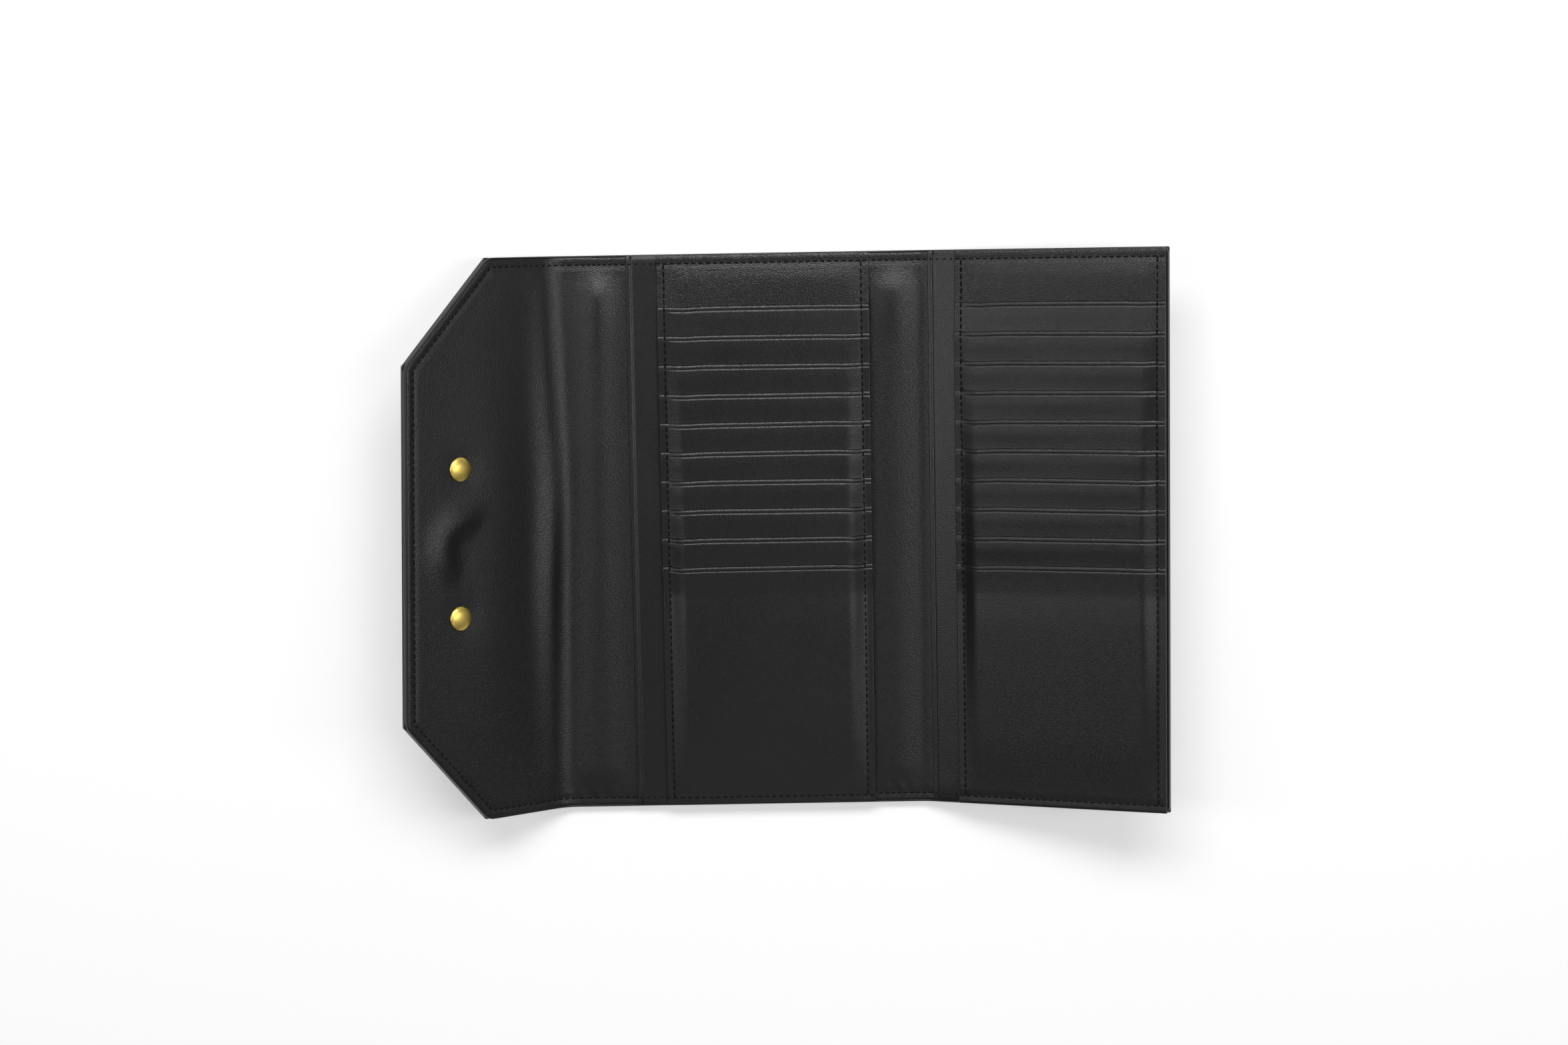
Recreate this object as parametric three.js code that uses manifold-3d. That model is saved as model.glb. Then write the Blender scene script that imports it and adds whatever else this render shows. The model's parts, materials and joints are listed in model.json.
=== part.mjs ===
// A long leather wallet with a cut-corner flap, lying open on its back.
// Millimetres, +Z up. X runs from the flap to the front panel, Y along the wallet's length.
// The origin is the middle of the back panel's outer face, which rests on the table.
import * as THREE from "three";
import { mergeVertices } from "three/addons/utils/BufferGeometryUtils.js";
import Module from "manifold-3d";

const wasm = await Module();
wasm.setup();

// Overall layout, measured flat from crease to crease
const walletLength = 190;
const backWidth = 85.6;
const frontWidth = 84.6;
const frontSpineWidth = 17;
const flapDepth = 60;
const cornerCutAlongFlap = 31.5;
const cornerCutAcrossFlap = 35;
const closingClearance = 0.4;
const cutCornerRadius = 2.5;
const panelCornerRadius = 1.2;

// How far the two outer panels stand up from the table as the wallet lies open
const flapRiseDegrees = 37;
const frontRiseDegrees = 19;
const creaseRadius = 12;

// The shell: outer leather, a stiffening board and a lining leather
const coverThickness = 1.1;
const boardThickness = 0.5;
const liningThickness = 0.8;
const layerGap = 0.3;
const edgeRounding = 0.35;
const boardInset = 3.4;

// The note sleeve under each card bank
const sleeveThickness = 0.6;
const sleeveFromCrease = 2.4;
const sleeveTrim = 0.6;

// The card bank: a backing with shingled card pockets
const bankWidth = 72;
const bankMargin = 0.8;
const frontBankMargin = 0.6;
const backingThickness = 0.5;
const pocketCount = 10;
const pocketPitch = 9.85;
const headerHeight = 17.7;
const pocketLeather = 0.6;
const tailThickness = 0.2;
const tailLength = 78;
const bandUnderlap = 5.9;
const plyGap = 0.1;
const pocketEndTrim = 0.5;
const cardZoneHalfWidth = 29.5;
const shoulderWidth = 1.8;
const shoulderShare = 0.6;
const seamInset = 2.4;
const seamShare = 0.08;
const leastBendFromTailEnd = 4;

// Each band lies flat under its edge and then falls. Behind the next pocket it is pared thin.
const hemDepth = 2;
const fallEndAbovePitch = 0.2;
const parePastPitch = 1.5;

// Half-round edges of the turned leather
const turnedEdgeSteps = 4;

// The crease line pressed beside each turned edge
const creaseLineInset = 1.6;
const creaseLineHalfWidth = 0.25;
const creaseLineDepth = 0.16;

// The two rivets and the hidden magnets
const rivetSpacing = 50;
const rivetFromCrease = 39.5;
const rivetCapRadius = 4.1;
const rivetDomeHeight = 1.4;
const rivetPostRadius = 1.6;
const rivetPinRadius = 0.8;
const rivetPostWall = 0.5;
const rivetHoleClearance = 0.3;
const magnetRadius = 9;
const magnetThickness = 0.8;
const magnetFromCrease = 35.7;
const magnetClearance = 0.3;
const embossHeight = 0.3;
const embossRadius = 9.6;

// The soft wave that the lining keeps beside the flap's crease
const waveHeight = 0.7;
const waveLength = 6;
const waveSteps = 16;

// Worked out from the sizes above
const shellThickness = coverThickness + boardThickness + liningThickness + 2 * layerGap;
const flapRise = THREE.MathUtils.degToRad(flapRiseDegrees);
const frontRise = THREE.MathUtils.degToRad(frontRiseDegrees);
const halfLength = walletLength / 2;
const halfBack = backWidth / 2;
const coverLow = -shellThickness;
const coverHigh = coverLow + coverThickness;
const boardLow = coverHigh + layerGap;
const boardHigh = boardLow + boardThickness;
const liningLow = -liningThickness;
const sleeveLow = layerGap;
const backingLow = sleeveLow + sleeveThickness + layerGap;
const pocketFloor = backingLow + backingThickness + plyGap;
const stackStep = tailThickness + plyGap;
const closedMagnetFromFrontCrease = backWidth - magnetFromCrease;
const rivetStandOff = layerGap + rivetDomeHeight;
const flapSpineWidth = frontSpineWidth + shellThickness + rivetStandOff + closingClearance;

// Materials
const leather = (color, roughness) => new THREE.MeshStandardMaterial({ color, roughness, metalness: 0 });
const outerLeather = leather(0x1b1b1c, 0.55);
const liningLeather = leather(0x232425, 0.5);
const pocketLeatherFinish = leather(0x202122, 0.5);
const boardCard = leather(0x3a3632, 0.9);
const giltBrass = new THREE.MeshStandardMaterial({ color: 0xd9a23a, roughness: 0.25, metalness: 1 });
const magnetSteel = new THREE.MeshStandardMaterial({ color: 0x8c8f93, roughness: 0.4, metalness: 1 });

function solidOf(geometry) {
  const bare = geometry.clone();
  bare.deleteAttribute("normal");
  bare.deleteAttribute("uv");
  const merged = mergeVertices(bare, 1e-4);
  return new wasm.Manifold(
    new wasm.Mesh({
      numProp: 3,
      vertProperties: merged.attributes.position.array,
      triVerts: new Uint32Array(merged.index.array),
    }),
  );
}

function geometryOf(solid) {
  const mesh = solid.getMesh();
  const geometry = new THREE.BufferGeometry();
  geometry.setAttribute("position", new THREE.BufferAttribute(mesh.vertProperties, 3));
  geometry.setIndex(new THREE.BufferAttribute(mesh.triVerts, 1));
  geometry.computeVertexNormals();
  return geometry;
}

function piece(name, geometry, material) {
  const mesh = new THREE.Mesh(geometry, material);
  mesh.name = name;
  return mesh;
}

// A closed outline whose corners are [x, y, radius], each rounded by a curve.
function roundedOutline(corners) {
  const shape = new THREE.Shape();
  corners.forEach(([x, y, radius], i) => {
    const here = new THREE.Vector2(x, y);
    const [px, py] = corners[(i + corners.length - 1) % corners.length];
    const [nx, ny] = corners[(i + 1) % corners.length];
    const before = new THREE.Vector2(px, py).sub(here).setLength(radius).add(here);
    const after = new THREE.Vector2(nx, ny).sub(here).setLength(radius).add(here);
    if (i === 0) shape.moveTo(before.x, before.y);
    else shape.lineTo(before.x, before.y);
    if (radius > 0) shape.quadraticCurveTo(x, y, after.x, after.y);
  });
  shape.closePath();
  return shape;
}

// A flat sheet between two heights, with its rim rounded over by a small bevel.
function sheet(outline, low, high, rounding = edgeRounding) {
  const rim = Math.min(rounding, (high - low) / 3);
  const geometry = new THREE.ExtrudeGeometry(outline, {
    depth: high - low - 2 * rim,
    bevelThickness: rim,
    bevelSize: rim,
    bevelOffset: -rim,
    bevelSegments: 2,
    curveSegments: 10,
  });
  return geometry.translate(0, 0, low + rim);
}

// A closed section in X and Z, drawn out along the wallet's length.
function alongLength(points, length) {
  const shape = new THREE.Shape(points.map(([x, z]) => new THREE.Vector2(x, z)));
  const geometry = new THREE.ExtrudeGeometry(shape, { depth: length, bevelEnabled: false });
  return geometry.rotateX(Math.PI / 2).translate(0, length / 2, 0);
}

// Joins like sections in Y and Z, one at each X of the list, into a closed body.
function loftAcross(stations, sectionAt) {
  const rings = stations.map((station) => sectionAt(station));
  const count = rings[0].length;
  const positions = [];
  const triangles = [];
  rings.forEach((ring, i) => ring.forEach((p) => positions.push(stations[i].x, p.x, p.y)));
  for (let i = 0; i < rings.length - 1; i++) {
    for (let j = 0; j < count; j++) {
      const next = (j + 1) % count;
      const a = i * count + j;
      const b = i * count + next;
      const c = (i + 1) * count + next;
      const d = (i + 1) * count + j;
      triangles.push(a, b, c, a, c, d);
    }
  }
  const last = (rings.length - 1) * count;
  for (const [a, b, c] of THREE.ShapeUtils.triangulateShape(rings[0], [])) triangles.push(c, b, a);
  for (const [a, b, c] of THREE.ShapeUtils.triangulateShape(rings[rings.length - 1], [])) {
    triangles.push(last + a, last + b, last + c);
  }
  const geometry = new THREE.BufferGeometry();
  geometry.setAttribute("position", new THREE.Float32BufferAttribute(positions, 3));
  geometry.setIndex(triangles);
  geometry.computeVertexNormals();
  return geometry;
}

function rectangle(lowX, highX, inset = 0, radiusLow = 0, radiusHigh = 0) {
  const y = halfLength - inset;
  return roundedOutline([
    [lowX, -y, radiusLow],
    [highX, -y, radiusHigh],
    [highX, y, radiusHigh],
    [lowX, y, radiusLow],
  ]);
}

// The flap's outline, from its crease side to the straight edge between two cut corners.
function flapOutline(start, inset = 0) {
  const y = halfLength - inset;
  const tip = -(flapDepth - inset);
  const slant = Math.hypot(cornerCutAlongFlap, cornerCutAcrossFlap);
  const along = cornerCutAlongFlap - inset * (1 - (slant - cornerCutAlongFlap) / cornerCutAcrossFlap);
  const across = cornerCutAcrossFlap - inset * (1 - (slant - cornerCutAcrossFlap) / cornerCutAlongFlap);
  return roundedOutline([
    [-start, y, 0],
    [tip + along, y, cutCornerRadius],
    [tip, y - across, cutCornerRadius],
    [tip, -y + across, cutCornerRadius],
    [tip + along, -y, cutCornerRadius],
    [-start, -y, 0],
  ]);
}

function roundHole(x, y, radius) {
  return new THREE.Path().absarc(x, y, radius, 0, 2 * Math.PI, true);
}

function addRivetHoles(outline) {
  for (const side of [-1, 1]) {
    const radius = rivetPostRadius + rivetHoleClearance;
    outline.holes.push(roundHole(-rivetFromCrease, (side * rivetSpacing) / 2, radius));
  }
  return outline;
}

// How far the bend reaches on each side of a crease that stands up by an angle.
const bendReach = (rise) => creaseRadius * Math.tan(rise / 2);

// The leather over a spine: flat from the back panel, then bent up to the outer panel.
// direction is -1 towards the flap and 1 towards the front.
function spineStrip(direction, width, rise, low, high) {
  const reach = bendReach(rise);
  const steps = 8;
  const line = (height) => {
    const points = [[layerGap, height]];
    for (let i = 0; i <= steps; i++) {
      const turn = (rise * i) / steps;
      const radius = creaseRadius - height;
      points.push([width - reach + radius * Math.sin(turn), creaseRadius - radius * Math.cos(turn)]);
    }
    return points;
  };
  const section = [...line(low), ...line(high).reverse()].map(([x, z]) => [direction * x, z]);
  return alongLength(section, walletLength);
}

function spinePieces(prefix, direction, width, rise) {
  const group = new THREE.Group();
  const reach = bendReach(rise);
  const near = direction * boardInset;
  const far = direction * (width - reach - layerGap);
  const board = rectangle(Math.min(near, far), Math.max(near, far), boardInset);
  group.add(
    piece(`cover_${prefix}_spine`, spineStrip(direction, width, rise, coverLow, coverHigh), outerLeather),
    piece(`board_${prefix}_spine`, sheet(board, boardLow, boardHigh), boardCard),
    piece(`lining_${prefix}_spine`, spineStrip(direction, width, rise, liningLow, 0), liningLeather),
  );
  return group;
}

// The flap's lining keeps a soft wave beside the crease and shows the magnet as a low round boss.
function flapLining() {
  const start = bendReach(flapRise) + layerGap;
  const top = [];
  for (let i = 0; i <= waveSteps; i++) {
    const along = (waveLength * 2 * i) / waveSteps;
    const fade = Math.sin((Math.PI * i) / waveSteps);
    top.push([-(start + along), waveHeight * fade * Math.sin((Math.PI * i) / waveSteps) ** 2]);
  }
  const section = [
    [-flapDepth - layerGap, liningLow],
    [-start, liningLow],
    ...top,
    [-flapDepth - layerGap, 0],
  ];
  const waved = solidOf(alongLength(section, walletLength + layerGap));
  const outline = addRivetHoles(flapOutline(start));
  const prism = solidOf(sheet(outline, liningLow, waveHeight + 2 * edgeRounding));
  const boss = new THREE.CylinderGeometry(magnetRadius, embossRadius, embossHeight * 2, 40)
    .rotateX(Math.PI / 2)
    .translate(-magnetFromCrease, 0, 0);
  return geometryOf(waved.intersect(prism).add(solidOf(boss)));
}

function domeProfile(radius, height, steps) {
  const sphere = (radius * radius + height * height) / (2 * height);
  const points = [];
  for (let i = 0; i <= steps; i++) {
    const angle = (Math.asin(radius / sphere) * i) / steps;
    points.push([sphere * Math.sin(angle), height - sphere * (1 - Math.cos(angle))]);
  }
  return points;
}

function turned(points) {
  const profile = points.map(([r, z]) => new THREE.Vector2(r, z));
  return new THREE.LatheGeometry(profile, 32).rotateX(Math.PI / 2);
}

// The inner half of a rivet: a domed cap with a hollow post that goes through the flap.
function rivetSocket() {
  const dome = domeProfile(rivetCapRadius, rivetDomeHeight, 6);
  const bore = rivetPostRadius - rivetPostWall;
  const postEnd = coverLow + layerGap;
  return turned([
    [0, 0],
    [bore, 0],
    [bore, postEnd],
    [rivetPostRadius, postEnd],
    [rivetPostRadius, 0],
    ...dome.reverse(),
  ]);
}

// The outer half: the same cap with a pin that is driven into the hollow post.
function rivetPin() {
  const dome = domeProfile(rivetCapRadius, rivetDomeHeight, 6).reverse();
  return turned([
    [0, shellThickness + layerGap],
    [rivetPinRadius, shellThickness + layerGap],
    [rivetPinRadius, 0],
    ...dome.map(([r, z]) => [r, -z]),
  ].reverse());
}

function magnetDisc(x) {
  const middle = (coverHigh + liningLow) / 2;
  return new THREE.CylinderGeometry(magnetRadius, magnetRadius, magnetThickness, 40)
    .rotateX(Math.PI / 2)
    .translate(x, 0, middle);
}

function flapPieces() {
  const start = bendReach(flapRise) + layerGap;
  const board = addRivetHoles(flapOutline(start, boardInset));
  board.holes.push(roundHole(-magnetFromCrease, 0, magnetRadius + magnetClearance));
  const group = new THREE.Group();
  group.add(
    piece("cover_flap", sheet(addRivetHoles(flapOutline(start)), coverLow, coverHigh), outerLeather),
    piece("board_flap", sheet(board, boardLow, boardHigh), boardCard),
    piece("lining_flap", flapLining(), liningLeather),
    piece("magnet_flap", magnetDisc(-magnetFromCrease), magnetSteel),
  );
  for (const [place, side] of [["upper", 1], ["lower", -1]]) {
    const y = (side * rivetSpacing) / 2;
    const socket = piece(`rivet_${place}_inner_cap`, rivetSocket(), giltBrass);
    socket.position.set(-rivetFromCrease, y, layerGap);
    const pin = piece(`rivet_${place}_outer_cap`, rivetPin(), giltBrass);
    pin.position.set(-rivetFromCrease, y, coverLow - layerGap);
    group.add(socket, pin);
  }
  return group;
}

// A sleeve for notes: one sheet, open along its creased and rounded left edge.
function noteSleeve(width) {
  const half = sleeveThickness / 2;
  const middle = sleeveLow + half;
  const top = sleeveLow + sleeveThickness;
  const edge = [];
  for (let i = 0; i <= turnedEdgeSteps; i++) {
    const turn = Math.PI / 2 + (Math.PI * i) / turnedEdgeSteps;
    edge.push([half + half * Math.cos(turn), middle + half * Math.sin(turn)]);
  }
  const section = [
    ...edge,
    [width, sleeveLow],
    [width, top],
    [creaseLineInset + creaseLineHalfWidth, top],
    [creaseLineInset, top - creaseLineDepth],
    [creaseLineInset - creaseLineHalfWidth, top],
  ];
  return alongLength(section, walletLength - sleeveTrim);
}

// The underside of pocket n at a distance below its own edge. share is 1 over the cards,
// where the tails of the pockets behind lift it, and 0 at the side seams, where none do.
function pocketLift(n, below, share) {
  const slope = stackStep / pocketPitch;
  const stacked = Math.max(0, Math.min(stackStep * (n - 1), slope * (tailLength - below)));
  const fallEnd = pocketPitch - fallEndAbovePitch;
  const fall = THREE.MathUtils.clamp((fallEnd - below) / (fallEnd - hemDepth), 0, 1);
  const hem = n > 1 ? pocketLeather + plyGap - stackStep * share : 0;
  return share * stacked + hem * fall;
}

// The section of pocket n: a rounded edge with a crease line under it, a leather band,
// and a thin tail that reaches down behind the next pockets. The front pocket is all leather.
function pocketSection(n, share, length) {
  const isFront = n === pocketCount;
  const round = pocketLeather / 2;
  const pareStart = pocketPitch + parePastPitch;
  const pareEnd = pocketPitch + bandUnderlap;
  const lastBend = tailLength - leastBendFromTailEnd;
  const bend = THREE.MathUtils.clamp(tailLength - (n - 1) * pocketPitch, pareStart + plyGap, lastBend);
  const marks = [hemDepth, pocketPitch - fallEndAbovePitch, pareStart, bend, pareEnd, length];
  const under = [round, ...marks].sort((a, b) => a - b);
  const thick = (below) => {
    const pared = THREE.MathUtils.clamp((below - pareStart) / (pareEnd - pareStart), 0, 1);
    return isFront ? pocketLeather : THREE.MathUtils.lerp(pocketLeather, tailThickness, pared);
  };
  const points = [];
  for (const below of [...under].reverse()) points.push([below, pocketLift(n, below, share)]);
  const rise = pocketLift(n, round, share);
  for (let i = 1; i < turnedEdgeSteps; i++) {
    const turn = -Math.PI / 2 + (Math.PI * i) / turnedEdgeSteps;
    points.push([round - round * Math.cos(turn), rise + round + round * Math.sin(turn)]);
  }
  const groove = [creaseLineInset - creaseLineHalfWidth, creaseLineInset, creaseLineInset + creaseLineHalfWidth];
  for (const below of [round, ...groove, ...under.slice(1)]) {
    const dip = below === creaseLineInset ? creaseLineDepth : 0;
    points.push([below, pocketLift(n, below, share) + thick(below) - dip]);
  }
  return points;
}

function cardPocket(n) {
  const edgeY = halfLength - headerHeight - (n - 1) * pocketPitch;
  const isFront = n === pocketCount;
  const length = isFront ? edgeY + halfLength - pocketEndTrim : tailLength;
  const half = bankWidth / 2;
  const right = [
    { x: cardZoneHalfWidth, share: 1 },
    { x: cardZoneHalfWidth + shoulderWidth, share: shoulderShare },
    { x: half - seamInset, share: seamShare },
    { x: half, share: 0 },
  ];
  const left = right.map(({ x, share }) => ({ x: -x, share })).reverse();
  const body = loftAcross([...left, ...right], ({ share }) =>
    pocketSection(n, share, length).map(([below, z]) => new THREE.Vector2(edgeY - below, pocketFloor + z)),
  );
  if (isFront) return body;
  const bandEnd = pocketPitch + bandUnderlap;
  const sideCut = half - cardZoneHalfWidth + bankMargin;
  let solid = solidOf(body);
  for (const side of [-1, 1]) {
    const cut = new THREE.BoxGeometry(sideCut, tailLength, headerHeight).translate(
      side * (cardZoneHalfWidth + sideCut / 2),
      edgeY - bandEnd - tailLength / 2,
      pocketFloor,
    );
    solid = solid.subtract(solidOf(cut));
  }
  return geometryOf(solid);
}

function cardBank(panel, leftX) {
  const group = new THREE.Group();
  const half = bankWidth / 2;
  const backing = rectangle(-half, half, sleeveTrim / 2);
  group.add(
    piece(
      `${panel}_bank_backing`,
      sheet(backing, backingLow, backingLow + backingThickness),
      pocketLeatherFinish,
    ),
  );
  for (let n = 1; n <= pocketCount; n++) {
    group.add(piece(`${panel}_card_pocket_${n}`, cardPocket(n), pocketLeatherFinish));
  }
  group.position.x = leftX + half;
  return group;
}

function panelShell(name, lowX, highX, outerRadius, magnetX) {
  const group = new THREE.Group();
  const board = rectangle(lowX + boardInset, highX - boardInset, boardInset);
  if (magnetX !== undefined) board.holes.push(roundHole(magnetX, 0, magnetRadius + magnetClearance));
  const outline = () => rectangle(lowX, highX, 0, 0, outerRadius);
  group.add(
    piece(`cover_${name}`, sheet(outline(), coverLow, coverHigh), outerLeather),
    piece(`board_${name}`, sheet(board, boardLow, boardHigh), boardCard),
    piece(`lining_${name}`, sheet(outline(), liningLow, 0), liningLeather),
  );
  return group;
}

function backPanel() {
  const group = panelShell("back", -halfBack, halfBack, 0);
  const sleeve = piece("back_note_sleeve", noteSleeve(backWidth - sleeveFromCrease - bankMargin), liningLeather);
  sleeve.position.x = -halfBack + sleeveFromCrease;
  group.add(sleeve, cardBank("back", halfBack - bankMargin - bankWidth));
  return group;
}

function frontPanel() {
  const start = bendReach(frontRise) + layerGap;
  const group = panelShell("front", start, frontWidth, panelCornerRadius, closedMagnetFromFrontCrease);
  const sleeveWidth = frontWidth - frontBankMargin - sleeveFromCrease;
  const sleeve = piece("front_note_sleeve", noteSleeve(sleeveWidth), liningLeather);
  sleeve.position.x = sleeveFromCrease;
  group.add(
    sleeve,
    cardBank("front", frontWidth - frontBankMargin - bankWidth),
    piece("magnet_front", magnetDisc(closedMagnetFromFrontCrease), magnetSteel),
  );
  return group;
}

const wallet = new THREE.Group();

const back = backPanel();
back.position.z = shellThickness;

const flapSpine = spinePieces("flap", -1, flapSpineWidth, flapRise);
flapSpine.position.set(-halfBack, 0, shellThickness);

const flap = flapPieces();
flap.position.set(-halfBack - flapSpineWidth, 0, shellThickness);
flap.rotation.y = flapRise;

const frontSpine = spinePieces("front", 1, frontSpineWidth, frontRise);
frontSpine.position.set(halfBack, 0, shellThickness);

const front = frontPanel();
front.position.set(halfBack + frontSpineWidth, 0, shellThickness);
front.rotation.y = -frontRise;

wallet.add(back, flapSpine, flap, frontSpine, front);

export default wallet;
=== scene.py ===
"""A long leather wallet, lying open on a pale table: its leather, seams, rivets and light."""
import json
import math

import bpy
import numpy as np
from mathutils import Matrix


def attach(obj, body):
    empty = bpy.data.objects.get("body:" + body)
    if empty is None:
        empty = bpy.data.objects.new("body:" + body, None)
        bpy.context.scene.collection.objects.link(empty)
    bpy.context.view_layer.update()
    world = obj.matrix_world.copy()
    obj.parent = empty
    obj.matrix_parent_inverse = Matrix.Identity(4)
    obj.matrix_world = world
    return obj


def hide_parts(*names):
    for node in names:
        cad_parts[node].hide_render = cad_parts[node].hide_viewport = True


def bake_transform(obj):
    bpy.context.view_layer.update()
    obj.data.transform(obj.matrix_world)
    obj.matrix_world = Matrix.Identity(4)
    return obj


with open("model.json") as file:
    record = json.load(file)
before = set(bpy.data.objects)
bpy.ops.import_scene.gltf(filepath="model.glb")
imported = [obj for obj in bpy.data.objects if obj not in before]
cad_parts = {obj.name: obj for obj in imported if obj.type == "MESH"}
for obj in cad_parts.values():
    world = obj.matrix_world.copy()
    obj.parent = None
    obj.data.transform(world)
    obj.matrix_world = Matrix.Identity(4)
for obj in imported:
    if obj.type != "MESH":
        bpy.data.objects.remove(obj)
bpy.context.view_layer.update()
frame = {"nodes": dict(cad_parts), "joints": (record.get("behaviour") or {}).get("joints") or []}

MM = 0.001

# Sizes of the wallet in millimetres, the same as those of its solids
LENGTH = 190.0
HALF_LENGTH = LENGTH / 2
SHELL = 3.0
COVER = 1.1
LINING = 0.8
BEND_RADIUS = 12.0
FLAP_DEPTH = 60.0
CUT_ALONG_FLAP = 31.5
CUT_ACROSS_FLAP = 35.0
FRONT_WIDTH = 84.6
SLEEVE_LOW = 0.3
SLEEVE_HIGH = 0.9
SLEEVE_FROM_CREASE = 2.4
BANK_WIDTH = 72.0
BANK_MARGIN_BACK = 0.8
BANK_MARGIN_FRONT = 0.6
BACKING_LOW = 1.2
BACKING_HIGH = 1.7
POCKETS = 10
POCKET_PITCH = 9.85
HEADER = 17.7
POCKET_LEATHER = 0.6
TAIL = 0.2
PLY_GAP = 0.1
TAIL_LENGTH = 78.0
BAND_UNDERLAP = 5.9
HEM_DEPTH = 2.0
FALL_END = POCKET_PITCH - 0.2
PARE_START = POCKET_PITCH + 1.5
CARD_ZONE = 29.5
PANEL_END_GAP = 0.3
POCKET_FLOOR = BACKING_HIGH + PLY_GAP
RIVET_FROM_CREASE = 39.5
RIVET_SPACING = 50.0
RIVET_RADIUS = 4.1
RIVET_RISE = 1.4
RIVET_RIM = 0.3
RIVET_SEAT = 0.3
MAGNET_FROM_CREASE = 35.7

# Seams and edges
SEAM_INSET = 3.1
SIDE_SEAM_INSET = 2.4
STITCH_PITCH = 2.4
STITCH_LENGTH = 1.9
THREAD_RADIUS = 0.3
THREAD_LIFT = 0.1
SEAM_DEPTH = 0.3
EDGE_WALL = 0.7
EDGE_ROUNDING = 0.3
EDGE_STEP = 1.6
CORNER_ROUNDING = 2.2
LINING_INSET = EDGE_WALL * 0.8
HEM_LINE = 1.6

# Distances from a folded or side edge that get an edge loop, to hold its roll and its creased line
HEM_LOOPS = (0.42, 0.6, 0.8, 1.0, 1.2, 1.4, 1.5, 1.6, 1.7, 1.8, 2.0, 2.2)
SIDE_LOOPS = (0.45, 0.7)
SLEEVE_LOOPS = (0.4, 0.7, HEM_LINE - 0.3, HEM_LINE, HEM_LINE + 0.3)

# The leather sags a little out of square where the flap folds, and waves beside that crease.
# The closed flap lies 2.1 mm over the front panel, so the waves stay lower than that.
FLAP_SKEW = 0.030
RIDGE_FROM_CREASE = 4.2
RIDGE_AT_ENDS = 0.15
RIDGE_MORE_AT_MIDDLE = 1.6
DIMPLE_RADIUS = 6.5

# The open wallet's creases, from the joints
joints = {joint["name"]: joint for joint in frame["joints"]}
HALF_BACK = joints["front_spine_fold"]["pos_m"][0] / MM
FLAP_SPINE = -joints["flap_fold"]["pos_m"][0] / MM - HALF_BACK
FRONT_SPINE = joints["front_fold"]["pos_m"][0] / MM - HALF_BACK
FLAP_RISE = -math.radians(joints["flap_fold"]["range_deg"][0])
FRONT_RISE = -math.radians(joints["front_fold"]["range_deg"][0])


def smoothstep(low, high, value):
    share = np.clip((value - low) / (high - low), 0, 1)
    return share * share * (3 - 2 * share)


def hump(value, middle, width):
    return np.exp(-(((value - middle) / width) ** 2))


# The wallet is drawn flat, with s across it and y along it, and then laid in its open shape.
# s counts from the middle of the back panel: the flap lies at s below 0.
FLAP_CREASE = -(HALF_BACK + FLAP_SPINE)
FRONT_CREASE = HALF_BACK + FRONT_SPINE
FLAP_TIP = FLAP_CREASE - FLAP_DEPTH
FRONT_END = FRONT_CREASE + FRONT_WIDTH
MID_FLAP_SPINE = -(HALF_BACK + FLAP_SPINE * 0.5)
MID_FRONT_SPINE = HALF_BACK + FRONT_SPINE * 0.5
CUT_SLANT = math.hypot(CUT_ALONG_FLAP, CUT_ACROSS_FLAP)


def raised(distance, height, crease, rise):
    """Where a point past a crease lies: flat, round the bend, and up the slope behind it."""
    reach = BEND_RADIUS * math.tan(rise / 2)
    turn = rise * np.clip((distance - crease + reach) / (2 * reach), 0, 1)
    before = np.minimum(distance, crease - reach)
    after = np.maximum(distance - crease - reach, 0)
    radius = BEND_RADIUS - height
    across = before + radius * np.sin(turn) + after * math.cos(rise)
    up = BEND_RADIUS - radius * np.cos(turn) + after * math.sin(rise)
    return across, up


def lay(s, y, height):
    """The open wallet's place, in metres, of points drawn flat at a height over the lining."""
    skewed = s + FLAP_SKEW * y * smoothstep(-HALF_BACK, FLAP_CREASE + 4, s)
    left_x, left_z = raised(-skewed, height, -FLAP_CREASE, FLAP_RISE)
    right_x, right_z = raised(s, height, FRONT_CREASE, FRONT_RISE)
    x = np.where(s < 0, -left_x, right_x)
    z = np.where(s < 0, left_z, right_z)
    return np.stack([x, y, SHELL + z], axis=1) * MM


def flap_edge_distance(s, y):
    """How far a point of the flap lies inside its cut-corner outline."""
    from_tip = s - FLAP_TIP
    from_side = HALF_LENGTH - np.abs(y)
    corner = from_tip / CUT_ALONG_FLAP + from_side / CUT_ACROSS_FLAP - 1
    from_cut = corner * CUT_ALONG_FLAP * CUT_ACROSS_FLAP / CUT_SLANT
    return np.minimum(np.minimum(from_tip, from_side), from_cut)


def edge_distance(s, y):
    from_side = HALF_LENGTH - np.abs(y)
    return np.where(s < 0, flap_edge_distance(s, y), np.minimum(from_side, FRONT_END - s))


def seam_dip(distance):
    """The stitches draw the leather down along the seam, and the edge rolls off."""
    groove = SEAM_DEPTH * hump(distance, SEAM_INSET, 0.8)
    return -groove - 0.3 * (1 - smoothstep(0, 1.4, distance))


def crease_wave(s, y):
    """A soft ridge that wanders beside the flap's crease, highest at mid length."""
    wander = 0.9 * np.sin(y / 26 + 0.6) + 0.35 * np.sin(y / 11)
    ridge = FLAP_CREASE - RIDGE_FROM_CREASE + wander - FLAP_SKEW * y
    height = RIDGE_AT_ENDS + RIDGE_MORE_AT_MIDDLE * hump(y, 2, 54)
    return height * np.where(s < ridge, hump(s, ridge, 4.7), hump(s, ridge, 5.6))


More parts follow.
